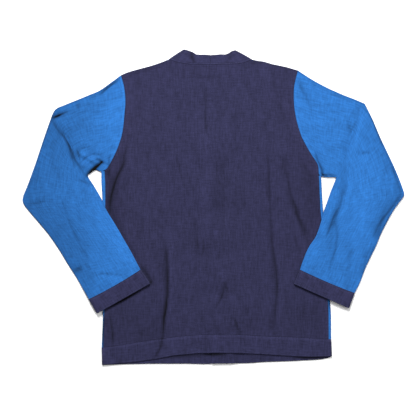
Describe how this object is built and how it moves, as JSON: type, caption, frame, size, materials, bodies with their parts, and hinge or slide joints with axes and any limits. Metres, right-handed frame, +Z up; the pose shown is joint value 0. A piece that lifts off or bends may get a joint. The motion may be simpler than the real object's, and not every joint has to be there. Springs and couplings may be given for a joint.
{
  "type": "cardigan",
  "caption": "Woven cardigan laid flat face down: navy back, blue fronts and sleeves, navy cuffs, hem band and V-neck button band.",
  "frame": {"origin": "centre of the laid garment's outline, on the surface it lies on", "axes": "+X across the garment towards the wearer's right sleeve, +Y from the hem towards the neck, +Z up from the surface, out of the garment's back"},
  "size_m": [0.8392, 0.6973, 0.0108],
  "materials": {
    "navy_cloth": "matte navy linen-like plain weave, slightly slubby",
    "blue_cloth": "matte cobalt blue linen-like plain weave, slightly slubby",
    "navy_band": "matte navy doubled cloth with a stitched edge",
    "button": "dark navy, satin"
  },
  "bodies": {
    "root": {"back": "navy_cloth", "front_left": "blue_cloth", "front_right": "blue_cloth", "sleeve_left": "blue_cloth", "sleeve_right": "blue_cloth", "cuff_left": "navy_band", "cuff_right": "navy_band", "hem_band": "navy_band", "neck_band_left": "navy_band", "neck_band_right": "navy_band", "button_1": "button", "button_2": "button", "button_3": "button", "button_4": "button", "button_5": "button"}
  },
  "joints": []
}
